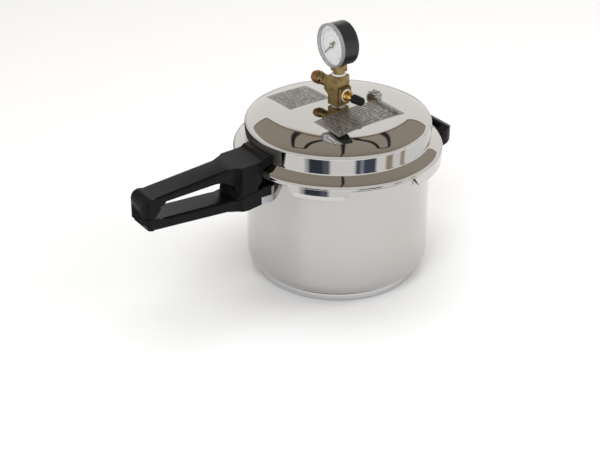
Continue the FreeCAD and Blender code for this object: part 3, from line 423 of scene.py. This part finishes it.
def moulded_black(name, shade, gloss):
    """Phenolic: near black, satin, with a faint orange-peel skin and rubbed patches."""
    resin = Finish(name, IOR=1.5)
    resin.shader.inputs["Specular IOR Level"].default_value = 0.13
    peel = resin.noise(900.0, 2.0)
    rubbed = resin.noise(28.0, 4.0, (0.5, 1.0, 1.0))
    wear = resin.range(rubbed, 0.45, 0.75)
    return resin.feed(
        Base_Color=resin.blend(wear, (shade, shade, shade * 1.05),
                               (shade * 1.9, shade * 1.9, shade * 1.95)),
        Roughness=resin.range(rubbed, 0.3, 0.7, gloss, gloss + 0.14),
        Normal=resin.bump(peel, 0.12, 0.0001))


handle_black = moulded_black("handle_black", 0.004, 0.20)
eased("pot_handle", "pot", handle_black, 1.4)
eased("lid_handle", "lid", handle_black, 2.0, 4)


def sheet_steel(name, tone, dull):
    """Plain strip steel, rolled and tumbled."""
    steel = Finish(name, Metallic=1.0)
    rolled = steel.noise(160.0, 3.0, (1.0, 0.2, 1.0))
    return steel.feed(
        Base_Color=steel.blend(rolled, tone, (tone[0] * 0.8, tone[1] * 0.8, tone[2] * 0.82)),
        Roughness=steel.range(rolled, 0.3, 0.7, dull, dull + 0.15),
        Normal=steel.bump(rolled, 0.1, 0.00005))


bracket_finish = sheet_steel("bracket_steel", (0.52, 0.53, 0.55), 0.22)
screw_finish = sheet_steel("screw_steel", (0.60, 0.60, 0.61), 0.25)
for owner in ("pot", "lid"):
    coat(owner + "_handle_bracket", bracket_finish)
    coat(owner + "_handle_screw", screw_finish)


# ---------------------------------------------------------------- helper handle
# A moulded loop opposite the long handles, carried on two arms of a welded
# steel bracket.

eased("helper_handle", "pot", handle_black, 3.0, 5)
coat("helper_bracket", bracket_finish)


# ---------------------------------------------------------------- rack
# One pressed plate with a raised rim and beads, a ring of small holes and
# two large ones; it stands loose on the pot floor.

rack_finish = sheet_steel("rack_metal", (0.74, 0.74, 0.75), 0.12)
coat("rack", rack_finish)


# ---------------------------------------------------------------- sealing ring
# Black rubber with an open lip towards the steam side, squeezed between the
# rim and the lid.

rubber = Finish("seal_rubber", IOR=1.5)
dust = rubber.noise(90.0, 4.0)
coat("sealing_ring", rubber.feed(
    Base_Color=rubber.blend(dust, (0.018, 0.018, 0.018), (0.045, 0.044, 0.042)),
    Roughness=rubber.range(dust, 0.3, 0.7, 0.5, 0.75),
    Normal=rubber.bump(rubber.noise(600.0), 0.2, 0.0001)))


# ---------------------------------------------------------------- lid
# Pressed from one sheet and mirror polished: a nearly flat crown, a shoulder,
# an upright skirt, a sloping brim, and five tabs whose ends hook inwards.

lid_steel = polished_steel("lid_steel", (0.575, 0.56, 0.545), 0.035, (1.0, 1.0, 1.0), 0.01)
crown = [(581.0 * math.sin(math.radians(a)), 211.7 - 581.0 * (1 - math.cos(math.radians(a))))
         for a in (0.0, 1.0, 2.0, 3.2, 4.4, 5.6, 6.8, 8.0, 8.51)]
inner_crown = [(579.5 * math.sin(math.radians(a)), 210.2 - 579.5 * (1 - math.cos(math.radians(a))))
               for a in (8.51, 8.0, 6.8, 5.6, 4.4, 3.2, 2.0, 1.0, 0.0)]
shoulder_centre = (crown[-1][0] - 73.5 * math.sin(math.radians(8.51)),
                   crown[-1][1] - 73.5 * math.cos(math.radians(8.51)))
shoulder = arc(shoulder_centre, 73.5, 81.49, 65.0, 8)
nose_centre = (shoulder[-1][0] - 8.3 * math.cos(math.radians(65.0)),
               shoulder[-1][1] - 8.3 * math.sin(math.radians(65.0)))
nose = arc(nose_centre, 8.3, 65.0, 0.0, 10)
inner_shoulder = arc(shoulder_centre, 72.0, 65.0, 81.49, 8)
inner_nose = arc(nose_centre, 6.8, 0.0, 65.0, 8)
brim_centre = (121.0 - 7.25 * 0.4472, 168.0 - 7.25 * 0.8944)
brim = arc(brim_centre, 7.25, 63.4, 0.0, 8)
inner_brim = arc(brim_centre, 5.75, 0.0, 63.4, 8)
lid_section = (crown + shoulder[1:] + nose[1:]
               + [(111.0, 176.0), (111.0, 173.9), (111.25, 173.2), (112.2, 172.5), (116.0, 170.55)]
               + brim + [(125.0, 160.9), (124.7, 160.2), (124.2, 160.0), (123.7, 160.2),
                         (123.5, 160.8)]
               + inner_brim + [(109.6, 172.0), (109.5, 174.0)] + inner_nose + inner_shoulder[1:]
               + inner_crown)
TAB_SPAN = 34.5
cover = turned(lid_section, steps=240, closed=False)
for number in range(EAR_COUNT):
    middle = EAR_TURN + EAR_PITCH * number
    tab = bmesh.new()
    turned([(118.8, 147.0), (123.0, 147.0), (124.2, 147.4), (124.9, 148.4), (125.0, 149.4),
            (125.0, 155.0), (125.0, 160.9), (123.3, 160.9), (123.2, 155.0), (123.2, 149.6),
            (122.6, 148.9), (118.8, 148.9), (118.6, 148.4), (118.6, 147.4)],
           steps=24, angle=TAB_SPAN, start=middle - TAB_SPAN / 2, work=tab)
    for hand in (1.0, -1.0):
        edge_turn = math.radians(middle + hand * TAB_SPAN / 2)
        tangent = Vector((-math.sin(edge_turn), math.cos(edge_turn), 0.0)) * hand
        corner = Vector((0.125 * math.cos(edge_turn), 0.125 * math.sin(edge_turn), 0.1602))
        slope = (tangent * 13.5 - Vector((0.0, 0.0, 9.8))).normalized()
        bmesh.ops.bisect_plane(tab, geom=tab.verts[:] + tab.edges[:] + tab.faces[:], dist=1e-7,
                               plane_co=corner, plane_no=slope, clear_outer=True)
        open_edges = [e for e in tab.edges if len(e.link_faces) == 1]
        bmesh.ops.holes_fill(tab, edges=open_edges, sides=0)
    kept = bpy.data.meshes.new("tab")
    tab.to_mesh(kept)
    tab.free()
    cover.from_mesh(kept)
    bpy.data.meshes.remove(kept)
lid_cover = settled("lid_cover", cover, lid_steel)
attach(lid_cover, "lid")
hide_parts("lid_shell")


# ---------------------------------------------------------------- foil plates
# Two thin grey foil plates stuck to the crown, ruled with fine lines of no
# reading; they follow its curve.

def ruled_foil(name, turn, middle, long_side, short_side, band):
    """Grey foil with rows of short dashes and one darker band."""
    foil = Finish(name, Metallic=0.75)
    x, y, z = foil.axes()
    row_pitch = 0.0043
    cosine, sine = math.cos(math.radians(turn)), math.sin(math.radians(turn))
    u = (x - middle[0]) * cosine + (y - middle[1]) * sine
    v = (y - middle[1]) * cosine - (x - middle[0]) * sine
    rows = v / row_pitch
    row = rows.part()
    line = foil.range((row - 0.5).size(), 0.22, 0.30, 1.0, 0.0)
    row_place = foil.node("ShaderNodeCombineXYZ", sockets={0: u, 1: (rows - row) * 0.37, 2: 0.0})
    words = foil.node("ShaderNodeTexNoise", {"noise_dimensions": "2D"}, {
        "Vector": row_place, "Scale": 330.0, "Detail": 1.0})
    dashes = foil.range(words, 0.42, 0.5)
    inside = foil.range(u.size(), long_side * 0.46, long_side * 0.465, 1.0, 0.0) * foil.range(
        v.size(), short_side * 0.45, short_side * 0.455, 1.0, 0.0)
    strip = foil.range((u - band).size(), 0.0035, 0.0042, 1.0, 0.0) * foil.range(
        words, 0.38, 0.46, 0.25, 1.0) * inside
    ink = (line * dashes * inside * 0.8).most(strip * 0.95)
    grey = foil.blend(foil.noise(35.0), (0.26, 0.245, 0.225), (0.36, 0.345, 0.32))
    return foil.feed(Base_Color=foil.blend(ink, grey, (0.045, 0.04, 0.036)),
                     Roughness=foil.range(foil.noise(70.0), 0.3, 0.7, 0.30, 0.46))


coat("front_foil_plate",
     ruled_foil("front_foil", 5.5, (0.0034, -0.0376), 0.1015, 0.0445, 0.0405))
coat("rear_foil_plate", ruled_foil("rear_foil", -3.0, (-0.0231, 0.0510), 0.055, 0.056, 0.05))


# ---------------------------------------------------------------- manifold
# A cast and milled brass block, gone olive brown, sealed to the lid and held
# by a nut inside it. White tape shows at its threads.

def worn_brass(name, bright_tone, dark_tone, dull, patina):
    """Brass under a cloudy brown skin that is rubbed brighter in places."""
    brass = Finish(name, Metallic=1.0)
    cloud = brass.noise(110.0, 5.0, rough=0.6)
    spots = brass.noise(520.0, 3.0)
    skin = brass.range(cloud, 0.36, 0.64, 0.0, patina)
    colour = brass.blend(skin, bright_tone, dark_tone)
    return brass.feed(
        Base_Color=brass.blend(brass.range(spots, 0.62, 0.75, 0.0, 0.55), colour,
                               (dark_tone[0] * 0.5, dark_tone[1] * 0.5, dark_tone[2] * 0.5)),
        Roughness=brass.range(cloud, 0.3, 0.7, dull, dull + 0.2),
        Normal=brass.bump(spots, 0.25, 0.00008))


block_brass = worn_brass("block_brass", (0.40, 0.29, 0.12), (0.22, 0.16, 0.075), 0.26, 1.0)
bright_brass = worn_brass("stem_brass", (0.80, 0.53, 0.16), (0.52, 0.33, 0.10), 0.12, 0.6)
red_brass = worn_brass("cap_brass", (0.46, 0.25, 0.12), (0.26, 0.15, 0.08), 0.26, 1.0)
eased("manifold_block", "lid", block_brass, 0.5)
coat("manifold_locknut", block_brass)
washer_finish = Finish("pale_washer")
coat("manifold_washer", washer_finish.feed(
    Base_Color=washer_finish.blend(washer_finish.noise(300.0), (0.42, 0.40, 0.33),
                                   (0.62, 0.60, 0.54)),
    Roughness=washer_finish.range(washer_finish.noise(200.0), 0.3, 0.7, 0.45, 0.7)))
coat("manifold_inner_washer", nodes["manifold_washer"].data.materials[0])
tape = Finish("thread_tape", Roughness=0.55)
coat("gauge_thread_tape", tape.feed(
    Base_Color=tape.blend(tape.noise(500.0), (0.86, 0.86, 0.84), (0.94, 0.94, 0.93)),
    Normal=tape.bump(tape.noise(1400.0, 2.0, (1.0, 1.0, 4.0)), 0.5, 0.0002)))
coat("fill_thread_tape", nodes["gauge_thread_tape"].data.materials[0])


# ---------------------------------------------------------------- valves
# Turned brass, both: the relief valve with its vent holes, spring and fluted
# cap, and the fill valve under a black push-on cap.

coat("relief_valve_body", block_brass)
coat("relief_spring", screw_finish)
coat("relief_cap", red_brass)
for name in ("relief_poppet", "fill_valve_body", "fill_core_pin"):
    coat(name, bright_brass)
coat("fill_valve_cap", moulded_black("cap_rubber", 0.008, 0.38))


# ---------------------------------------------------------------- gauge
# A two-inch dial gauge: black painted steel case, clear snap-on lens with a
# grey edge, white dial, and a brass movement behind it.

case_paint = Finish("case_paint", IOR=1.5)
pebble = case_paint.noise(1300.0, 2.0)
coat("gauge_case", case_paint.feed(
    Base_Color=case_paint.blend(pebble, (0.008, 0.010, 0.011), (0.016, 0.018, 0.019)),
    Roughness=case_paint.range(case_paint.noise(60.0), 0.3, 0.7, 0.24, 0.34),
    Normal=case_paint.bump(pebble, 0.12, 0.00006)))

dial = Finish("dial_print", Roughness=0.45)
GAUGE_HEIGHT = 0.2884
HALF_SCALE = 135.0
x, y, z = dial.axes()
dy = y * -1000.0
dz = (z - GAUGE_HEIGHT) * 1000.0
reach = (dy * dy + dz * dz).power(0.5)
bearing = dial.node("ShaderNodeMath", {"operation": "ARCTAN2"}, {0: dy, 1: dz}) * degrees
on_scale = dial.range(bearing.size(), HALF_SCALE + 0.4, HALF_SCALE + 0.8, 1.0, 0.0)
scale_line = dial.range((reach - 19.3).size(), 0.16, 0.26, 1.0, 0.0) * on_scale


def ticks(step, half_width, softness, middle, half_length):
    """Marks every so many degrees round the scale; widths and lengths in mm."""
    offset = ((bearing + HALF_SCALE) / step + 0.5).part() - 0.5
    beside = offset.size() * step * reach * (math.pi / 180.0)
    narrow = dial.range(beside, half_width, half_width + softness, 1.0, 0.0)
    short = dial.range((reach - middle).size(), half_length, half_length + 0.1, 1.0, 0.0)
    return narrow * short * on_scale


fine_tick = ticks(5.4, 0.12, 0.08, 18.3, 1.0)
coarse_tick = ticks(54.0, 0.26, 0.10, 17.3, 2.0)
inner_line = dial.range((reach - 11.9).size(), 0.10, 0.18, 1.0, 0.0) * on_scale
print_ink = scale_line.most(fine_tick).most(coarse_tick).most(inner_line * 0.7)
face_white = dial.blend(dial.noise(80.0), (0.80, 0.80, 0.81), (0.86, 0.86, 0.87))
coat("gauge_dial", dial.feed(Base_Color=dial.blend(print_ink, face_white, (0.10, 0.13, 0.20))))

clear = Finish("clear_lens", Roughness=0.04, IOR=1.47)
x, y, z = clear.axes()
above = z - GAUGE_HEIGHT
lens_reach = (y * y + above * above).power(0.5) * 1000.0
at_edge = clear.range(lens_reach, 23.6, 24.4)
coat("gauge_lens", clear.feed(
    Alpha=clear.range(lens_reach, 23.6, 24.4, 0.10, 0.85),
    Base_Color=clear.blend(at_edge, (0.9, 0.92, 0.93), (0.27, 0.28, 0.29))))
coat("gauge_socket", block_brass)
for name in ("gauge_movement", "gauge_tube", "pointer_arbor", "sector_gear"):
    coat(name, bright_brass)
pointer_paint = Finish("pointer_paint", Roughness=0.4)
coat("pointer", pointer_paint.feed(Base_Color=pointer_paint.blend(
    pointer_paint.noise(400.0), (0.012, 0.012, 0.013), (0.022, 0.022, 0.023))))


# ---------------------------------------------------------------- cover vent
# A chromed hexagon nut with a domed top, its washer inside the lid, and the
# pin that rises as pressure builds.

chromed = polished_steel("vent_chrome", (0.60, 0.61, 0.62), 0.12, (1.0, 1.0, 1.0), 0.05)
eased("vent_nut", "lid", chromed, 0.3)
coat("vent_pin", chromed)
coat("vent_washer", nodes["sealing_ring"].data.materials[0])
